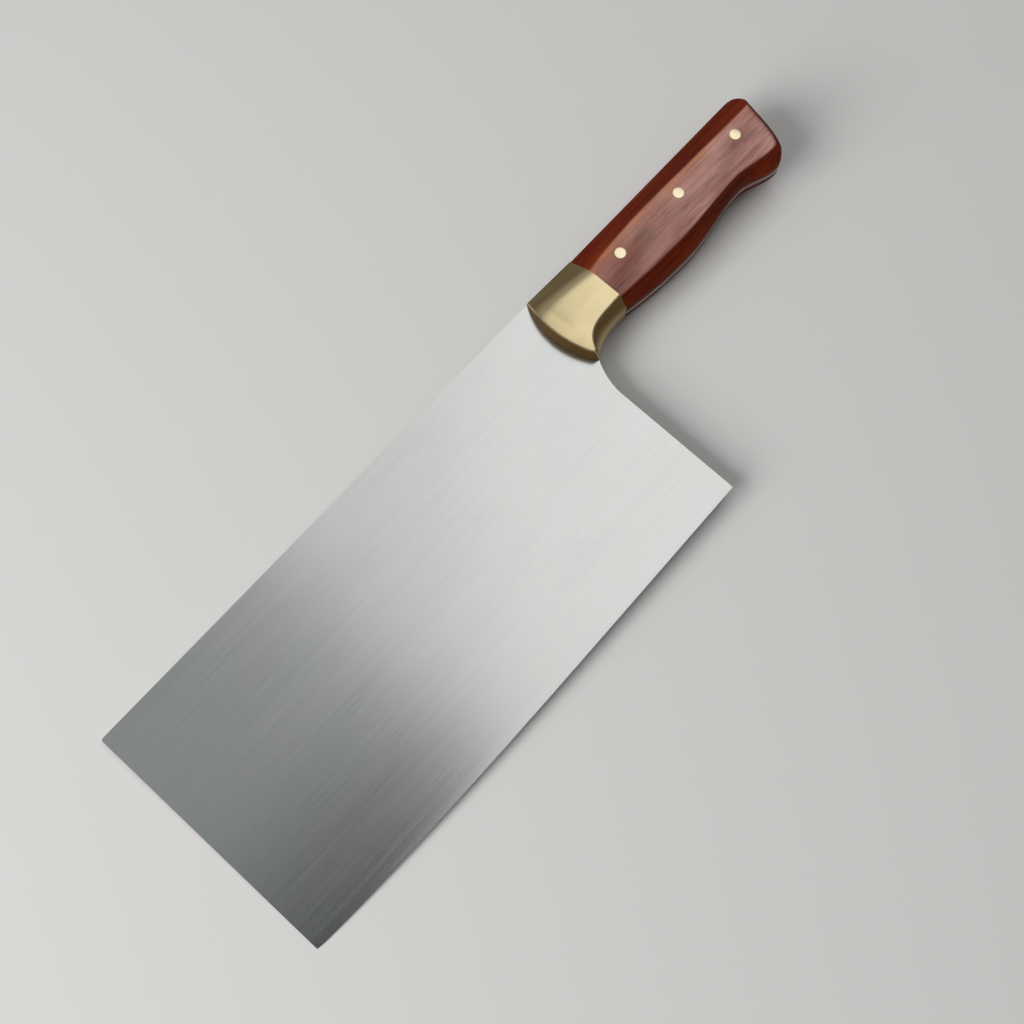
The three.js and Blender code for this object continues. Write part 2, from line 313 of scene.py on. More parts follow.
# Finish of the blade and the tang
steelLook = {
    "coarse": 0.45,  # share of the broad lines
    "clouds": [
        (0.34, (0.597, 0.613, 0.607)),  # cool
        (0.5, (0.615, 0.625, 0.615)),
        (0.66, (0.632, 0.628, 0.63)),  # warm
    ],
    "lineTone": (0.93, 1.02),
    "lineStrength": 0.05,
    "lineDepth": 0.004,  # mm
    "roughness": (0.185, 0.23),
    "paintedTangShade": (0.14, 0.10, 0.07),  # painted shade and painted reflection of a tan surface: dull brown-grey on the tang
    "paintedShadeMetallic": 0.3,
}


def bladeSteel():
    material, tree, shader = newMaterial("groundSteel")
    lines = useGroup(tree, abrasiveLines, Coarse=steelLook["coarse"])
    # painted shade on the tang: brown-grey and less metallic, standing in for shade and a tan reflection
    paintedTangShade = markOf(tree, "paintedTangShade")
    tone = rescale(tree, lines["Lines"], *steelLook["lineTone"], *noiseRange)
    colour = blendColour(tree, 1.0, ramp(tree, lines["Clouds"], steelLook["clouds"]), tone, "MULTIPLY")
    feed(tree, shader, {
        "Base Color": blendColour(tree, paintedTangShade, colour, opaque(steelLook["paintedTangShade"])),
        "Roughness": rescale(tree, lines["Lines"], *steelLook["roughness"], *noiseRange),
        "Metallic": rescale(tree, paintedTangShade, 1.0, steelLook["paintedShadeMetallic"]),
        "Normal": bump(tree, lines["Lines"], steelLook["lineStrength"], steelLook["lineDepth"]),
    })
    return material


# Finish of the bolster
brassLook = {
    "coarse": 0.6,
    "clouds": [(0.3, (0.70, 0.56, 0.30)), (0.7, (0.84, 0.71, 0.43))],
    "lineStrength": 0.06,
    "lineDepth": 0.02,  # mm
    "wornAndHighlight": (0.90, 0.78, 0.50),
    "wearAndPaintedLight": 0.3,
    # painted shade and painted dark reflection: dark brown on the front wall and on the sides that turn away
    "paintedShade": (0.105, 0.053, 0.008),
    "roughness": (0.26, 0.36),
    "dullRoughness": 0.46,  # under full painted shade
    "dullMetallic": 0.2,
    "dullFrom": 0.8,  # painted shade from which less of the metal shows
    "specular": 0.1,
}


def bolsterBrass():
    material, tree, shader = newMaterial("buffedBrass")
    lines = useGroup(tree, abrasiveLines, Coarse=brassLook["coarse"])
    wornAndHighlight = useGroup(tree, edgeWearAndPaintedLight, Amount=brassLook["wearAndPaintedLight"])["Mask"]
    paintedShade = markOf(tree, "paintedShade")
    colour = ramp(tree, lines["Clouds"], brassLook["clouds"])
    colour = blendColour(tree, paintedShade, colour, opaque(brassLook["paintedShade"]))
    buffed = rescale(tree, lines["Lines"], *brassLook["roughness"], *noiseRange)
    feed(tree, shader, {
        "Base Color": blendColour(tree, wornAndHighlight, colour, opaque(brassLook["wornAndHighlight"])),
        "Roughness": blendValue(tree, paintedShade, buffed, brassLook["dullRoughness"]),
        "Metallic": rescale(tree, paintedShade, 1.0, brassLook["dullMetallic"], brassLook["dullFrom"]),
        "Normal": bump(tree, lines["Lines"], brassLook["lineStrength"], brassLook["lineDepth"]),
    })
    shader.inputs["Specular IOR Level"].default_value = brassLook["specular"]
    return material


# Finish of the rivets
rivetLook = {
    "coarse": 0.3,
    "face": (0.92, 0.80, 0.56),
    # painted shadow round the head's rim
    "rim": (0.45, 0.32, 0.15),
    "rimAmount": 1.0,
    "roughness": (0.24, 0.36),
}


def rivetBrass():
    material, tree, shader = newMaterial("rivetBrass")
    lines = useGroup(tree, abrasiveLines, Coarse=rivetLook["coarse"])
    # the dark rim is a painted shadow where the head meets the wood
    rim = useGroup(tree, edgeWearAndPaintedLight, Amount=rivetLook["rimAmount"])["Mask"]
    feed(tree, shader, {
        "Base Color": blendColour(tree, rim, opaque(rivetLook["face"]), opaque(rivetLook["rim"])),
        "Roughness": rescale(tree, lines["Lines"], *rivetLook["roughness"], *noiseRange),
    })
    shader.inputs["Metallic"].default_value = 1.0
    return material


# Finish of the scales
woodLook = {
    "bands": {"stretch": (70, 5.5, 5.5), "detail": 4, "rough": 0.6, "distortion": 0.4},
    "streaks": {"stretch": (26, 0.9, 0.9), "detail": 4, "rough": 0.6},
    "streakShare": 0.42,  # of the streaks in the figure, the rest is bands
    "figure": [(0.36, (0.062, 0.007, 0.003)), (0.5, (0.122, 0.014, 0.004)), (0.66, (0.175, 0.030, 0.009))],
    # pale mauve of the top flat: a painted sheen
    "sheenColour": (0.54, 0.295, 0.257),
    "sheenClouds": {"stretch": (24, 6, 6)},
    "sheenStreaks": 0.38,  # of the streaks in the clouds
    "sheenNoise": (0.38, 0.6),
    "sheenShare": (0.4, 1.0),
    "sheenFront": 0.45,  # of that share at the bolster, all of it further back
    "sheenPlaces": (32, 62),  # mm along the knife between the two
    "knot": (46.0, -15.0, 10.0),
    "knotReach": (0.5, 4.8),
    "knotShare": 0.6,
    "knotColour": (0.17, 0.115, 0.08),
    "pores": {"stretch": (9, 0.24, 0.24), "detail": 2},
    "poreNoise": (0.60, 0.74),
    "poreShare": (0.3, 0.75),  # in front and towards the butt
    "porePlaces": (50, 85),
    "poreColour": (0.050, 0.012, 0.009),
    "poreStrength": 0.2,
    "poreDepth": 0.03,  # mm
    # orange along the spine crease: worn wood and a painted highlight
    "wornAndHighlight": (0.52, 0.20, 0.095),
    "wearAndPaintedLight": 0.7,
    "roughness": (0.38, 0.5),
    "specular": (0.035, 0.24),  # oiled facets, glossier top
}


def handleRosewood():
    material, tree, shader = newMaterial("oiledRosewood")
    where = knifeCoordinates(tree)
    alongKnife = addNode(tree, "ShaderNodeSeparateXYZ", {0: where}).outputs["X"]
    streaks = noise(tree, **woodLook["streaks"])
    figure = blendValue(tree, woodLook["streakShare"], noise(tree, **woodLook["bands"]), streaks)
    colour = ramp(tree, figure, woodLook["figure"])

    # painted sheen on the top: paler mauve, in clouds, less in front
    scuff = markOf(tree, "scuff")
    clouds = blendValue(tree, woodLook["sheenStreaks"], noise(tree, **woodLook["sheenClouds"]), streaks)
    clouds = rescale(tree, clouds, *woodLook["sheenShare"], *woodLook["sheenNoise"])
    backwards = rescale(tree, alongKnife, woodLook["sheenFront"], 1.0, *woodLook["sheenPlaces"])
    share = compute(tree, "MULTIPLY", compute(tree, "MULTIPLY", scuff, clouds), backwards)
    colour = blendColour(tree, share, colour, opaque(woodLook["sheenColour"]))

    ends = {0: where, 1: woodLook["knot"]}
    offKnot = addNode(tree, "ShaderNodeVectorMath", ends, operation="DISTANCE").outputs["Value"]
    knot = rescale(tree, offKnot, woodLook["knotShare"], 0.0, *woodLook["knotReach"])
    colour = blendColour(tree, knot, colour, opaque(woodLook["knotColour"]))

    pores = rescale(tree, noise(tree, **woodLook["pores"]), 0.0, 1.0, *woodLook["poreNoise"])
    poreShare = rescale(tree, alongKnife, *woodLook["poreShare"], *woodLook["porePlaces"])
    pores = compute(tree, "MULTIPLY", pores, poreShare)
    colour = blendColour(tree, pores, colour, opaque(woodLook["poreColour"]))

    wornAndHighlight = useGroup(tree, edgeWearAndPaintedLight, Amount=woodLook["wearAndPaintedLight"])["Mask"]
    relief = compute(tree, "SUBTRACT", streaks, pores)
    feed(tree, shader, {
        "Base Color": blendColour(tree, wornAndHighlight, colour, opaque(woodLook["wornAndHighlight"])),
        "Roughness": rescale(tree, streaks, *woodLook["roughness"], *noiseRange),
        "Specular IOR Level": rescale(tree, scuff, *woodLook["specular"]),
        "Normal": bump(tree, relief, woodLook["poreStrength"], woodLook["poreDepth"]),
    })
    return material


steel, brass, rivetMetal, rosewood = bladeSteel(), bolsterBrass(), rivetBrass(), handleRosewood()
print("finishes made")


# Handle: two scales over the tang
handle = {
    "start": 22.12,
    "end": 115.2,
    "spine": -1.2,
    "halfThickness": 10.0,
    "wall": 4.0,  # half height of the upright wall at the rim
    "seat": 1.12,
    "heightPlaces": (22.0, 54.0, 86.0, 103.0),  # front, swell, waist and hook
    "heights": (27.0, 30.0, 26.5, 30.9),
    "spineFacetPlaces": (22.0, 54.0, 115.2),
    "spineFacets": (9.6, 7.6, 8.8),
    "bellyFacets": (3.6, 5.2, 3.0, 4.9),
    "fanPlace": 84.0,  # from here the top fans out round the butt
    "fanLength": 10.0,
    "fanLine": -14.5,
    "buttLean": 6.0,
    "buttTurn": 0.52,  # share of the height at which the butt starts to turn into the hook
    "cornerRadius": 6.5,
    "buttRim": 2.4,
    "cornerSoften": 4,  # neighbours on either side
    "seatRound": 0.12,
    "wallRound": 1.1,
    "spineRound": 1.3,
    "bellyRound": 1.1,
    "bellySide": (6.0, 14.0),  # this far under the spine the belly side sets in, over this reach
    "buttRound": 1.6,
    "buttRise": 2.0,  # rise of the wall over which the butt's rounding sets in
    "scuffDepth": 0.7,  # under the top, where the painted sheen sets in, over this reach
    "sheenReach": 0.6,
    "lineWidth": 1.1,  # wear and painted highlight: a line along the spine's crease, fainter on the facet
    "lineOnFacet": 0.3,
    "hazeWidth": 4.5,  # and a painted glow beside it on the top
    "hazeShare": 0.45,
    "spineSteps": 64,
    "tailSteps": 16,
    "cornerSteps": 16,
    "buttSteps": 12,
    "hookSteps": 26,
    "backSteps": 20,
}


# the belly's line: the spine's line less the eased height
def bellyY(x):
    return handle["spine"] - through(handle["heightPlaces"], handle["heights"], x)


# widths of the two facets, eased through their stations
def spineFacet(x):
    return through(handle["spineFacetPlaces"], handle["spineFacets"], x)


def bellyFacet(x):
    return through(handle["heightPlaces"], handle["bellyFacets"], x)


# leaning end of the butt: forward of the handle's end by the lean's share at each y
def buttX(y):
    return handle["end"] - handle["buttLean"] * (handle["spine"] - y) / handle["heights"][-1]


# ring round the handle: along the spine, round the butt in two quadratic curves and back along the belly
def outlineRing():
    spine, end, radius = handle["spine"], handle["end"], handle["cornerRadius"]
    hookX = handle["heightPlaces"][-1]
    hookY = bellyY(np.array(hookX))
    lean, share = handle["buttLean"], handle["buttTurn"]
    buttTop = np.array([buttX(spine - radius), spine - radius])
    buttLow = np.array([end - lean * share, mix(spine, hookY, share)])
    spineEnd, spineCorner = np.array([end - radius, spine]), np.array([end, spine])
    hook, hookCorner = np.array([hookX, hookY]), np.array([end - lean, hookY])
    x = np.linspace(handle["start"], handle["fanPlace"], handle["spineSteps"])
    tailX = np.linspace(handle["fanPlace"], end - radius, handle["tailSteps"])[1:]
    backX = np.linspace(hookX, handle["fanPlace"], handle["backSteps"])[1:]
    stretches = [
        np.stack([x, np.full_like(x, spine)], -1),
        np.stack([tailX, np.full_like(tailX, spine)], -1),
        curve(spineEnd, spineCorner, buttTop, steps(handle["cornerSteps"], 2)[1:]),
        mix(buttTop, buttLow, steps(handle["buttSteps"], 2)[1:]),
        curve(buttLow, hookCorner, hook, steps(handle["hookSteps"], 2)[1:]),
        np.stack([backX, bellyY(backX)], -1),
        np.stack([x[::-1], bellyY(x[::-1])], -1)[1:],
    ]
    return np.concatenate(stretches)


# each point of a line moved to the mean of its neighbours, as many on either side as the reach
def softened(line, reach):
    padded = np.pad(line, ((reach, reach), (0, 0)), mode="edge")
    return np.lib.stride_tricks.sliding_window_view(padded, 2 * reach + 1, axis=0).mean(-1)


# the outline set in by the rim at the butt, then held between the creases of the two facets
def creaseRing(ring):
    along = np.gradient(ring, axis=0)
    outwards = unit(np.column_stack([-along[:, 1], along[:, 0]]))
    fanned = ease(ring[:, 0], handle["fanPlace"], handle["fanLength"])[:, None]
    x, y = (ring - outwards * handle["buttRim"] * fanned).T
    y = np.clip(y, bellyY(x) + bellyFacet(x), handle["spine"] - spineFacet(x))
    lean = handle["buttLean"] / handle["heights"][-1]
    x = np.minimum(x, buttX(y) - handle["buttRim"] * np.hypot(1, lean))
    crease = np.column_stack([x, y])
    return mix(crease, softened(crease, handle["cornerSoften"]), fanned)


# top of the upright wall: where the facet through each outline point lies, up to the butt's rim
def wallTop(ring):
    x, y = ring.T
    low, half = handle["wall"], handle["halfThickness"]
    fromSpine = (handle["spine"] - y) / spineFacet(x)
    fromBelly = (y - bellyY(x)) / bellyFacet(x)
    return np.clip(mix(low, half, np.minimum(fromSpine, fromBelly)), low, half - handle["buttRim"])


# each ring point carries a rounded path from the middle line out to the rim and back,
# and the front is one flat face; the points are numbered from the first
def ringSolid(corners, cuts, first=0):
    columns = roundedPath(corners, cuts)
    count, length = columns.shape[:2]
    ids = first + np.arange(count * length).reshape(count, length)
    front = np.concatenate([ids[0], ids[-1, -2:0:-1]])
    return columns, [*gridFaces(ids).tolist(), front.tolist()]


# the line in the middle of the flats: a point across from each ring point, and one for the whole butt
def middleLine(ring, height):
    x = np.minimum(ring[:, 0], handle["fanPlace"])
    y = np.full_like(x, handle["fanLine"])
    return np.column_stack([x, y, np.full_like(x, height)])


def atHeight(ring, height):
    return np.column_stack([ring, np.full(len(ring), height)])


# ring solid from the seat on the tang up the wall, over the facet and onto the flat top; side -1 mirrors it
def buildScale(name, replaced, side):
    outline = outlineRing()
    crease = creaseRing(outline)
    half, wall = handle["halfThickness"], wallTop(outline)
    corners = [
        middleLine(outline, handle["seat"]),
        atHeight(outline, handle["seat"]),
        np.column_stack([outline, wall]),
        atHeight(crease, half),
        middleLine(outline, half),
    ]
    towardsBelly = ease(-outline[:, 1], *handle["bellySide"])
    atButt = ease(wall, handle["wall"], handle["buttRise"])
    sideCut = mix(handle["spineRound"], handle["bellyRound"], towardsBelly)
    creaseCut = mix(sideCut, handle["buttRound"], atButt)
    wallCut = mix(handle["wallRound"], handle["buttRound"], atButt)
    columns, faces = ringSolid(corners, [handle["seatRound"], wallCut, creaseCut])
    offCrease = np.linalg.norm(columns - atHeight(crease, half)[:, None, :], axis=-1)
    # painted sheen: the top flat, where the pale mauve goes
    scuff = ease(columns[..., 2], half - handle["scuffDepth"], handle["sheenReach"])
    # worn wood and a painted highlight along the spine's crease, with a painted glow beside it
    line = mix(handle["lineOnFacet"], 1, scuff) * np.exp(-(offCrease / handle["lineWidth"]) ** 2)
    haze = handle["hazeShare"] * scuff * np.exp(-(offCrease / handle["hazeWidth"]) ** 2)
    wearAndPaintedLight = np.minimum(line + haze, 1) * (1 - towardsBelly)[:, None]
    marks = {"wearAndPaintedLight": wearAndPaintedLight, "scuff": scuff}
    makePiece(name, columns * (1, 1, side), faces, rosewood, replaced, marks)


# Bolster: brass collar with a bowed front
bolster = {
    "length": 22.0,
    "bow": 4.3,
    "tip": (1.6, -33.2),
    "frontSpine": (0.0, 1.7),  # y and half thickness at the front
    "frontSpineCrease": (-5.0, 7.0),
    "frontBellyCrease": (-31.6, 7.0),
    "frontBelly": (-33.2, 1.7),
    "frontCrown": 1.4,
    "fall": 1.2,  # powers: how the top falls and how belly and crease flare towards the front
    "flare": 3,
    "creaseFlare": 6,
    "spineRound": (4.8, 7.5),  # cut back at the spine crease, rear and front
    "spineRoundLimit": 0.45,  # shares of the way from crease to crown
    "crownRound": 0.5,
    "bellyRound": (1.5, 1.1),
    "ridgeRound": 0.7,
    "foot": 0.05,  # half height of the front wall's foot, inside the blade
    "rows": 44,
    "runSteps": 9,
    "turnSteps": 11,
    "wallSteps": 6,
    "ridgeSteps": 7,
    "fitRounds": 8,  # to find where each column meets the front, and the share of each move
    "fitShare": 0.7,
    # painted shade: full on the front wall, a little behind the ridge, strong on the sides that tilt away
    "paintedShade": {
        "front": 0.97,
        "brow": 0.2,  # behind the ridge, fading over this share of the length
        "browReach": 0.2,
        "spine": 0.8,
        "spineTilt": (0.2, 0.4),  # sideways tilt where the side sets in, over this reach
        "belly": 0.94,
        "bellyTilt": (0.3, 0.3),
        "bellyRim": 0.55,
        "bellyHeight": (2.5, 3.5),  # height where the rim ends, over this reach
    },
}
tipX, tipY = bolster["tip"]
halfChord = np.hypot(tipX, tipY) / 2
frontRadius = (halfChord ** 2 + bolster["bow"] ** 2) / (2 * bolster["bow"])
frontBack = np.array([-tipY, tipX]) / (2 * halfChord)  # square to the chord, towards the handle
frontCentre = np.array([tipX, tipY]) / 2 + frontBack * (frontRadius - bolster["bow"])


# plan of the bolster's front: the arc's centre less the other leg of the radius
def frontX(y):
    return frontCentre[0] - np.sqrt(frontRadius ** 2 - (y - frontCentre[1]) ** 2)


# half ring of the bolster at each x: corners eased from the scales' section to the thin front, then rounded
def bolsterSection(x):
    share = np.clip((bolster["length"] - x) / (bolster["length"] - tipX), 0, 1)
    rearX = np.full_like(x, bolster["length"])
    spine, half, wall = handle["spine"], handle["halfThickness"], handle["wall"]

    def corner(rearY, rearZ, front, sideways, upwards):
        y = mix(rearY, front[0], share ** sideways)
        z = mix(rearZ, front[1], share ** upwards)
        return np.stack([x, y, z], -1)

    fall, flare = bolster["fall"], bolster["flare"]
    rim = corner(spine, wall, bolster["frontSpine"], 1, 1)
    crease = corner(spine - spineFacet(rearX), half, bolster["frontSpineCrease"], 1, fall)
    rearCrease = bellyY(rearX) + bellyFacet(rearX)
    bellyCrease = corner(rearCrease, half, bolster["frontBellyCrease"], bolster["creaseFlare"], fall)
    belly = corner(bellyY(rearX), wall, bolster["frontBelly"], flare, 1)
    across = unit(bellyCrease - crease)
    lift = np.stack([np.zeros_like(x), across[..., 2], -across[..., 1]], -1)
    crown = (crease + bellyCrease) / 2 + lift * (bolster["frontCrown"] * share ** fall)[..., None]
    reach = np.linalg.norm(crown - crease, axis=-1)
    spineCut = np.minimum(mix(*bolster["spineRound"], share), bolster["spineRoundLimit"] * reach)
    bellyCut = mix(*bolster["bellyRound"], share)
    cuts = [spineCut, bolster["crownRound"] * reach, bellyCut]
    path = [rim, crease, crown, bellyCrease, belly]
    return roundedPath(path, cuts, bolster["runSteps"], bolster["turnSteps"])


# the top runs from the bowed front to the rear; each column starts where it meets the front arc,
# which takes a few rounds to find because its y moves with its x
def bolsterTop(along):
    y = np.repeat(bolsterSection(np.full(1, tipX))[..., 1], len(along), axis=0)
    picked = np.tile(np.arange(y.shape[1]), len(along))
    for _ in range(bolster["fitRounds"]):
        x = mix(frontX(np.clip(y, tipY, 0)), bolster["length"], along[:, None])
        top = bolsterSection(x.ravel())[np.arange(x.size), picked].reshape(*x.shape, 3)
        y = mix(y, top[..., 1], bolster["fitShare"])
    return top


# painted shade of the top: by how far it tilts to either side, and fading away behind the ridge
def topPaintedShade(top):
    paintedShade = bolster["paintedShade"]
    facing = unit(np.cross(np.gradient(top, axis=1), np.gradient(top, axis=0)))
    sideways = facing[..., 1] * np.sign(facing[..., 2])
    spineSide = paintedShade["spine"] * ease(sideways, *paintedShade["spineTilt"])
    bellySide = mix(paintedShade["bellyRim"], paintedShade["belly"], ease(top[..., 2], *paintedShade["bellyHeight"]))
    sides = spineSide + bellySide * ease(-sideways, *paintedShade["bellyTilt"])
    brow = paintedShade["brow"] * np.exp(-steps(len(top), 2) / paintedShade["browReach"])
    return sides + brow * (1 - sides)


# below the ridge an upright front wall goes down into the blade, the ridge itself is a quadratic curve
def buildBolster():
    edge, paintedShade = bolster["ridgeRound"], bolster["paintedShade"]
    behindRidge = np.linspace(edge / bolster["length"], 1, bolster["rows"])
    top = bolsterTop(np.concatenate([[0], behindRidge]))
    ridge, top = top[0], top[1:]
    foot = ridge * (1, 1, 0) + (0, 0, bolster["foot"])
    brow = ridge - (0, 0, edge)
    wall = mix(foot, brow, steps(bolster["wallSteps"], 3)[:-1])
    turn = steps(bolster["ridgeSteps"], 3)[:-1]
    bend = curve(brow, ridge, top[0], turn)
    turned = np.broadcast_to(turn[..., 0], bend.shape[:2])
    # painted shade: full on the front wall, easing off over the ridge, then set by the top's tilt
    tone = np.concatenate([
        np.full(wall.shape[:2], paintedShade["front"]),
        mix(paintedShade["front"], paintedShade["brow"], smooth(turned)),
        topPaintedShade(top),
    ])
    wearAndPaintedLight = np.concatenate([np.zeros(wall.shape[:2]), np.sin(np.pi * turned), np.zeros(top.shape[:2])])
    points, faces = mirroredSlab(np.concatenate([wall, bend, top]))
    marks = {"paintedShade": np.tile(tone.ravel(), 2), "wearAndPaintedLight": np.tile(wearAndPaintedLight.ravel(), 2)}
    makePiece("bolster_shell", points, faces.tolist(), brass, "bolster", marks)


# Blade and tang: the neck between them is out of sight in the bolster and left out
blade = {
    "length": 210.0,
    "height": 98.6,
    "halfSpine": 1.1,
    "halfShoulder": 0.25,
    "halfEdge": 0.06,
    "bevel": 1.6,
    "edgeBow": 1.7,
    "edgeBowBias": 0.62,
    "toeRadius": 1.0,
    "heelX": -2.6,
    "filletDrop": 14.8,
    "underBolster": 2.0,  # how far the steel goes on inside the brass, tapered at spine and belly
    "underTaper": 0.4,
    "underGrip": 0.05,
    "tangRound": 0.08,
    # share of the painted shade and painted reflection on the tang
    "tangPaintedShade": 0.92,
    "columns": 90,
    "cornerSteps": 10,
    "neckSteps": 26,
    "filletSteps": 18,
    "flatSteps": 24,
    "bevelSteps": 3,
}


# two flat sheets between the toe line and the heel line, thinning evenly to the bevel along a bowed edge
def buildBlade():
    toeRadius, heelX, drop = blade["toeRadius"], blade["heelX"], blade["filletDrop"]
    cornerRows = toeRadius * (np.sin(np.linspace(np.pi / 2, 0, blade["cornerSteps"])) - 1)
    neckRows = np.linspace(-toeRadius, tipY, blade["neckSteps"])[1:]
    filletRows = tipY - drop * steps(blade["filletSteps"])[1:]
    level = np.concatenate([cornerRows, neckRows, filletRows])
    toe = -blade["length"] + toeRadius - np.sqrt(toeRadius ** 2 - np.clip(level + toeRadius, 0, None) ** 2)
    fillet = mix(heelX, tipX, (1 - np.clip((tipY - level) / drop, 0, 1)) ** 2)
    inside = blade["underGrip"] + blade["underTaper"] * np.minimum(level - tipY, -level)
    under = frontX(np.maximum(level, tipY)) + np.minimum(blade["underBolster"], inside)
    heel = np.where(level < tipY, fillet, under)
    along = steps(blade["columns"], 2)
    upperX = mix(toe, heel, along)
    upperY = np.broadcast_to(level, upperX.shape)
    edgeX = mix(-blade["length"], heelX, along)
    edgeY = -blade["height"] - blade["edgeBow"] * np.sin(np.pi * along ** blade["edgeBowBias"])
    shoulderY = edgeY + blade["bevel"]
    lowerY = mix(tipY - drop, shoulderY, steps(blade["flatSteps"])[1:])
    bevelY = mix(shoulderY, edgeY, steps(blade["bevelSteps"])[1:])
    y = np.concatenate([upperY, lowerY, bevelY], axis=1)
    x = np.concatenate([upperX, np.repeat(edgeX, y.shape[1] - upperX.shape[1], axis=1)], axis=1)
    slope = (blade["halfSpine"] - blade["halfShoulder"]) / blade["height"]
    flat = blade["halfSpine"] + slope * y
    bevelShare = np.clip((shoulderY - y) / blade["bevel"], 0, 1)
    z = mix(flat, blade["halfEdge"], bevelShare)
    return mirroredSlab(np.stack([x, y, z], -1))


# ring solid between the tang's two flats, with the handle's outline
def buildTang(first):
    ring, half = outlineRing(), blade["halfSpine"]
    corners = [middleLine(ring, -half), atHeight(ring, -half), atHeight(ring, half), middleLine(ring, half)]
    return ringSolid(corners, [blade["tangRound"], blade["tangRound"]], first)


def buildSteel():
    bladePoints, bladeFaces = buildBlade()
    tangPoints, tangFaces = buildTang(len(bladePoints))
    tangPoints = tangPoints.reshape(-1, 3)
    points = np.concatenate([bladePoints, tangPoints])
    faces = bladeFaces.tolist() + tangFaces
    # the whole tang takes the painted shade and painted reflection, the blade none
    paintedTangShade = np.repeat([0.0, blade["tangPaintedShade"]], [len(bladePoints), len(tangPoints)])
    makePiece("blade_steel", points, faces, steel, "blade_and_tang", {"paintedTangShade": paintedTangShade})


# Rivets: solid pins ground flush
rivet = {
    "radius": 2.3,
    "shank": 2.0,
    "headWall": (0.5, 0.6),  # depths of two rings on the head's upright wall
    "headDepth": 1.2,
    "dome": 0.14,
    "proud": 0.05,
    "rimRound": 0.16,
    "rimDark": (0.86, 0.12),  # shares of the radius: where the painted shadow of the rim sets in, and its reach
    "setback": 12.28,
    "pitch": 32.2,
    "inset": 12.6,
    "sides": 64,
    "domeSteps": 12,
    "rimSteps": 6,
}
rivetNames = ["front_rivet", "middle_rivet", "rear_rivet"]


# a profile turned round the pin's axis: a dome that falls with the square of the radius, a round rim,
# the head's wall and the slope to the shank, then the same mirrored
def buildRivet(index, name):
    half, radius, rimRound = handle["halfThickness"] + rivet["proud"], rivet["radius"], rivet["rimRound"]
    domeRadius = steps(rivet["domeSteps"]) * (radius - rimRound)
    domeHeight = half + rivet["dome"] * (1 - (domeRadius / radius) ** 2)
    rimTurn = np.linspace(0, np.pi / 2, rivet["rimSteps"])[1:]
    rimRadius = radius - rimRound * (1 - np.sin(rimTurn))
    rimHeight = half - rimRound * (1 - np.cos(rimTurn))
    headRadius = np.array([radius, radius, rivet["shank"]])
    headHeight = half - np.array([*rivet["headWall"], rivet["headDepth"]])
    r = np.concatenate([domeRadius, rimRadius, headRadius])
    z = np.concatenate([domeHeight, rimHeight, headHeight])
    r, z = np.concatenate([r, r[::-1]]), np.concatenate([z, -z[::-1]])
    turn = np.linspace(0, 2 * np.pi, rivet["sides"] + 1)[:, None]
    x = handle["start"] + rivet["setback"] + index * rivet["pitch"] + r * np.cos(turn)
    y = handle["spine"] - rivet["inset"] + r * np.sin(turn)
    points = np.stack([x, y, np.broadcast_to(z, x.shape)], -1)
    faces = gridFaces(np.arange(x.size).reshape(x.shape)).tolist()
    darkFrom, darkReach = rivet["rimDark"]
    # painted shadow round the rim of the head
    wearAndPaintedLight = np.broadcast_to(ease(r, darkFrom * radius, darkReach * radius), x.shape)
    makePiece(name + "_pin", points, faces, rivetMetal, name, {"wearAndPaintedLight": wearAndPaintedLight})


buildSteel()
print("blade and tang built")
buildBolster()
print("bolster built")
buildScale("near_scale_wood", "near_scale", 1)
buildScale("far_scale_wood", "far_scale", -1)
print("scales built")
for index, name in enumerate(rivetNames):
    buildRivet(index, name)
print("rivets built")


# Stage: a pale floor that runs into a pale backdrop
stage = {
    "floorSize": 6.0,  # metres
    "floorColour": (0.72, 0.71, 0.695),
    "floorRoughness": 0.9,
    "floorSpecular": 0.2,
    "floorFade": (0.28, 0.75),  # metres from the knife over which the floor runs into the backdrop
    "worldColour": (0.11, 0.112, 0.115),
    "backdropColour": (0.60, 0.595, 0.585),  # what the camera and the metal see round the floor
    "backdropTop": (0.5, 0.8),  # upward share of a look at which the backdrop thins out and ends
    "metalShare": 0.65,  # of the backdrop that shows in metal
}


# one for what the camera looks at, less for what metal or glass shows, nought for the light on the knife
def looksAt(tree):
    path = addNode(tree, "ShaderNodeLightPath").outputs
    shown = compute(tree, "MAXIMUM", path["Is Glossy Ray"], path["Is Transmission Ray"])
    return compute(tree, "MULTIPLY_ADD", shown, stage["metalShare"], path["Is Camera Ray"])


# share of the backdrop: eases with the value from its start to its end, and only for what is looked at
def backdropShare(tree, value, start, end, low, high):
    eased = rescale(tree, value, low, high, start, end, "SMOOTHSTEP")
    return compute(tree, "MULTIPLY", eased, looksAt(tree))


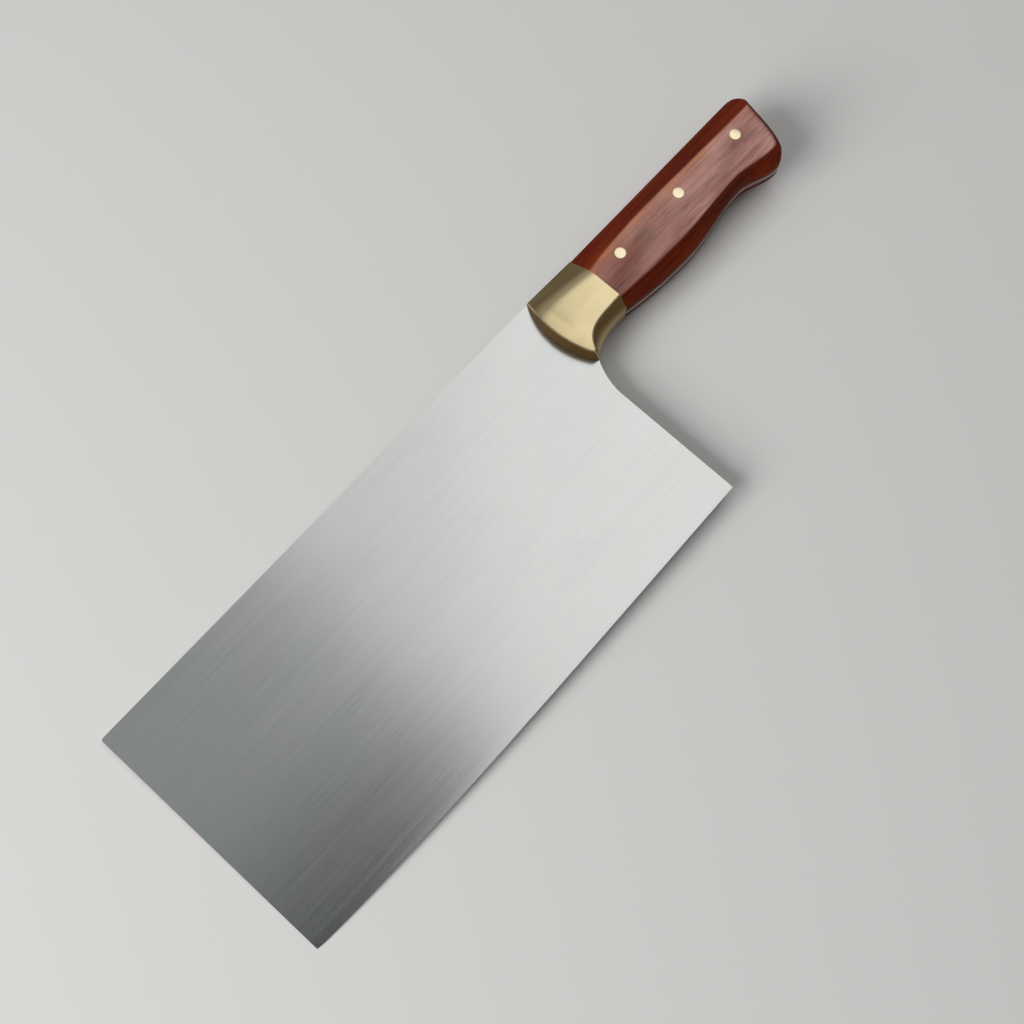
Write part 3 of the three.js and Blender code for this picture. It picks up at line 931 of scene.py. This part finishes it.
def buildFloor():
    half = stage["floorSize"] / 2
    corners = [(-half, -half, 0), (half, -half, 0), (half, half, 0), (-half, half, 0)]
    mesh = bpy.data.meshes.new("floor")
    mesh.from_pydata(corners, [], [(0, 1, 2, 3)])
    material, tree, shader = newMaterial("paleFloor")
    shader.inputs["Base Color"].default_value = opaque(stage["floorColour"])
    shader.inputs["Roughness"].default_value = stage["floorRoughness"]
    shader.inputs["Specular IOR Level"].default_value = stage["floorSpecular"]
    where = addNode(tree, "ShaderNodeTexCoord").outputs["Object"]
    away = addNode(tree, "ShaderNodeVectorMath", {0: where}, operation="LENGTH").outputs["Value"]
    share = backdropShare(tree, away, *stage["floorFade"], 0.0, 1.0)
    backdrop = addNode(tree, "ShaderNodeEmission", {"Color": opaque(stage["backdropColour"])}).outputs[0]
    mixed = addNode(tree, "ShaderNodeMixShader", {0: share, 1: shader.outputs[0], 2: backdrop}).outputs[0]
    feed(tree, tree.nodes["Material Output"], {"Surface": mixed})
    material.cycles.emission_sampling = "NONE"
    mesh.materials.append(material)
    floor = bpy.data.objects.new("floor", mesh)
    bpy.context.scene.collection.objects.link(floor)


def setWorld():
    world = bpy.data.worlds.new("studio")
    world.use_nodes = True
    tree = world.node_tree
    direction = addNode(tree, "ShaderNodeTexCoord").outputs["Generated"]
    upwards = addNode(tree, "ShaderNodeSeparateXYZ", {0: direction}).outputs["Z"]
    share = backdropShare(tree, upwards, *stage["backdropTop"], 1.0, 0.0)
    colour = blendColour(tree, share, opaque(stage["worldColour"]), opaque(stage["backdropColour"]))
    feed(tree, tree.nodes["Background"], {"Color": colour})
    bpy.context.scene.world = world
    bpy.context.scene.view_settings.view_transform = "Standard"


# Lamps and camera: places and aims in the knife's millimetres, sizes in metres,
# headings in degrees from the toe-to-butt axis, seen from above
lamps = {
    "softbox": {  # over the butt
        "place": (434, 150, 1000),
        "aim": (434, 150, 0),
        "upHeading": 90,
        "size": (0.96, 1.2),
        "power": 2.95,
        "colour": (1.0, 1.0, 0.985),
        "mirrored": True,
    },
    "fill": {
        "place": (416, 27, 950),
        "aim": (416, 27, 0),
        "upHeading": 47.7,
        "size": (0.6, 1.2),
        "power": 0.55,
        "colour": (1.0, 0.99, 0.95),
        "mirrored": True,
    },
    "ceiling": {  # dim, over the toe
        "place": (-408, 400, 1000),
        "aim": (-408, 400, 0),
        "upHeading": 90,
        "size": (0.7, 0.7),
        "power": 0.42,
        "colour": (0.94, 1.0, 0.985),
        "mirrored": True,
    },
    "key": {  # low, beyond the toe
        "place": (-1240, 260, 840),
        "aim": (-40, -40, 0),
        "upHeading": 90,
        "size": (1.0, 1.0),
        "power": 23.0,
        "colour": (1.0, 1.0, 1.0),
        "mirrored": False,  # so that the blade doesn't burn out where it would mirror it
    },
}
view = {
    "place": (-173.03, -138.87, 497.42),
    "aim": (-60.87, -47.74, 0),
    "upHeading": 41.97,
    "lens": 52.73,  # mm, on this width of sensor
    "sensor": 36.0,
    "clipStart": 0.01,
}


# stands at the spot and looks at the aim, with its top towards the heading
def looking(look):
    spot, aim = place(look["place"]), place(look["aim"])
    heading = radians(look["upHeading"])
    forward = unit(aim - spot)
    right = unit(np.cross(forward, np.array([np.cos(heading), np.sin(heading), 0.0]) @ knifeAxes))
    axes = np.column_stack([right, np.cross(right, forward), -forward])
    return Matrix.Translation(Vector(spot.tolist())) @ Matrix(axes.tolist()).to_4x4()


def addLamp(name, look):
    lamp = bpy.data.lights.new(name, "AREA")
    lamp.shape = "RECTANGLE"
    lamp.size, lamp.size_y = look["size"]
    lamp.energy = look["power"]
    lamp.color = look["colour"]
    lit = bpy.data.objects.new(name, lamp)
    lit.matrix_world = looking(look)
    lit.visible_glossy = look["mirrored"]
    bpy.context.scene.collection.objects.link(lit)


def addCamera():
    lens = bpy.data.cameras.new("photoView")
    lens.lens = view["lens"]
    lens.sensor_width = view["sensor"]
    lens.clip_start = view["clipStart"]
    camera = bpy.data.objects.new("photoView", lens)
    camera.matrix_world = looking(view)
    bpy.context.scene.collection.objects.link(camera)
    bpy.context.scene.camera = camera


buildFloor()
for name, look in lamps.items():
    addLamp(name, look)
setWorld()
addCamera()
print("stage set")
